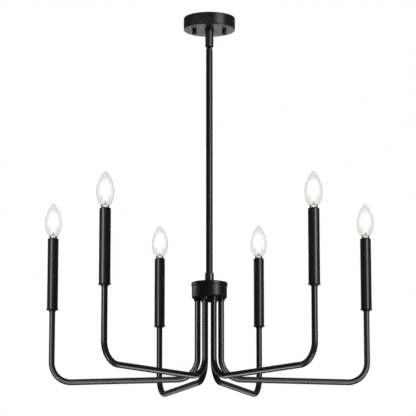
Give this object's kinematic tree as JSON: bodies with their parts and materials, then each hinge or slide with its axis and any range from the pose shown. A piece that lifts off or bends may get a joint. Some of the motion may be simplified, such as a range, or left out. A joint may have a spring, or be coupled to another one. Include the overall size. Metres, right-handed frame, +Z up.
{
  "type": "multi arm chandelier",
  "caption": "Candle-style chandelier with bent tube arms rising from a round hub, hung from a ceiling canopy on a straight downrod with a hang-straight swivel.",
  "frame": {"origin": "centre of the mounting strap top face, in the ceiling plane", "axes": "+Z up into the ceiling, +X to the right, -Y towards the viewer"},
  "size_m": [0.6804, 0.6086, 0.7571],
  "materials": {
    "black": "satin black powder coat with a fine orange-peel texture",
    "zinc": "zinc-plated steel, dull",
    "brass": "plain turned brass",
    "holder": "moulded phenolic, matt",
    "nickel": "nickel-plated brass shell",
    "glass": "clear blown glass",
    "filament": "phosphor-coated filaments on a clear glass stem, lit"
  },
  "bodies": {
    "ceiling_mount": {"mounting_strap": "zinc", "canopy": "black", "canopy_studs": "zinc", "cap_nuts": "black", "canopy_nipple": "zinc", "nipple_nut": "zinc", "swivel_housing": "black"},
    "swivel_cross": {"swivel_ring": "zinc", "swivel_pins": "zinc"},
    "stem": {"swivel_neck": "black", "downrod": "black", "rod_coupling": "black", "hub_lid": "black", "hub_cup": "black", "arm_bushings": "black", "bushing_nuts": "brass", "hub_finial": "black"},
    "arm_right": {"arm_tube_right": "black", "candle_cup_right": "black", "candle_sleeve_right": "black", "lamp_socket_right": "holder"},
    "bulb_right": {"bulb_base_right": "nickel", "bulb_glass_right": "glass", "bulb_filament_right": "filament"},
    "arm_back_right": {"arm_tube_back_right": "black", "candle_cup_back_right": "black", "candle_sleeve_back_right": "black", "lamp_socket_back_right": "holder"},
    "bulb_back_right": {"bulb_base_back_right": "nickel", "bulb_glass_back_right": "glass", "bulb_filament_back_right": "filament"},
    "arm_back_left": {"arm_tube_back_left": "black", "candle_cup_back_left": "black", "candle_sleeve_back_left": "black", "lamp_socket_back_left": "holder"},
    "bulb_back_left": {"bulb_base_back_left": "nickel", "bulb_glass_back_left": "glass", "bulb_filament_back_left": "filament"},
    "arm_left": {"arm_tube_left": "black", "candle_cup_left": "black", "candle_sleeve_left": "black", "lamp_socket_left": "holder"},
    "bulb_left": {"bulb_base_left": "nickel", "bulb_glass_left": "glass", "bulb_filament_left": "filament"},
    "arm_front_left": {"arm_tube_front_left": "black", "candle_cup_front_left": "black", "candle_sleeve_front_left": "black", "lamp_socket_front_left": "holder"},
    "bulb_front_left": {"bulb_base_front_left": "nickel", "bulb_glass_front_left": "glass", "bulb_filament_front_left": "filament"},
    "arm_front_right": {"arm_tube_front_right": "black", "candle_cup_front_right": "black", "candle_sleeve_front_right": "black", "lamp_socket_front_right": "holder"},
    "bulb_front_right": {"bulb_base_front_right": "nickel", "bulb_glass_front_right": "glass", "bulb_filament_front_right": "filament"}
  },
  "joints": [
    {"name": "stem_tilt_side", "type": "hinge", "parent": "ceiling_mount", "child": "swivel_cross", "pos_m": [0, 0, -0.054], "axis": [1, 0, 0], "range_deg": [-12, 12]},
    {"name": "stem_tilt_front", "type": "hinge", "parent": "swivel_cross", "child": "stem", "pos_m": [0, 0, -0.054], "axis": [0, 1, 0], "range_deg": [-12, 12]},
    {"name": "arm_swing_right", "type": "hinge", "parent": "stem", "child": "arm_right", "pos_m": [0.02377, 0.00334, -0.593], "axis": [0, 0, 1], "range_deg": [-15, 15]},
    {"name": "bulb_turn_right", "type": "hinge", "parent": "arm_right", "child": "bulb_right", "pos_m": [0.32279, 0.06861, -0.45], "axis": [0, 0, 1], "continuous": true},
    {"name": "arm_swing_back_right", "type": "hinge", "parent": "stem", "child": "arm_back_right", "pos_m": [0.0086, 0.02241, -0.593], "axis": [0, 0, 1], "range_deg": [-15, 15]},
    {"name": "bulb_turn_back_right", "type": "hinge", "parent": "arm_back_right", "child": "bulb_back_right", "pos_m": [0.10744, 0.31202, -0.45], "axis": [0, 0, 1], "continuous": true},
    {"name": "arm_swing_back_left", "type": "hinge", "parent": "stem", "child": "arm_back_left", "pos_m": [-0.0086, 0.02241, -0.593], "axis": [0, 0, 1], "range_deg": [-15, 15]},
    {"name": "bulb_turn_back_left", "type": "hinge", "parent": "arm_back_left", "child": "bulb_back_left", "pos_m": [-0.10744, 0.31202, -0.45], "axis": [0, 0, 1], "continuous": true},
    {"name": "arm_swing_left", "type": "hinge", "parent": "stem", "child": "arm_left", "pos_m": [-0.02377, 0.00334, -0.593], "axis": [0, 0, 1], "range_deg": [-15, 15]},
    {"name": "bulb_turn_left", "type": "hinge", "parent": "arm_left", "child": "bulb_left", "pos_m": [-0.32279, 0.06861, -0.45], "axis": [0, 0, 1], "continuous": true},
    {"name": "arm_swing_front_left", "type": "hinge", "parent": "stem", "child": "arm_front_left", "pos_m": [-0.0086, -0.02241, -0.593], "axis": [0, 0, 1], "range_deg": [-15, 15]},
    {"name": "bulb_turn_front_left", "type": "hinge", "parent": "arm_front_left", "child": "bulb_front_left", "pos_m": [-0.20089, -0.26181, -0.45], "axis": [0, 0, 1], "continuous": true},
    {"name": "arm_swing_front_right", "type": "hinge", "parent": "stem", "child": "arm_front_right", "pos_m": [0.0086, -0.02241, -0.593], "axis": [0, 0, 1], "range_deg": [-15, 15]},
    {"name": "bulb_turn_front_right", "type": "hinge", "parent": "arm_front_right", "child": "bulb_front_right", "pos_m": [0.20089, -0.26181, -0.45], "axis": [0, 0, 1], "continuous": true}
  ]
}
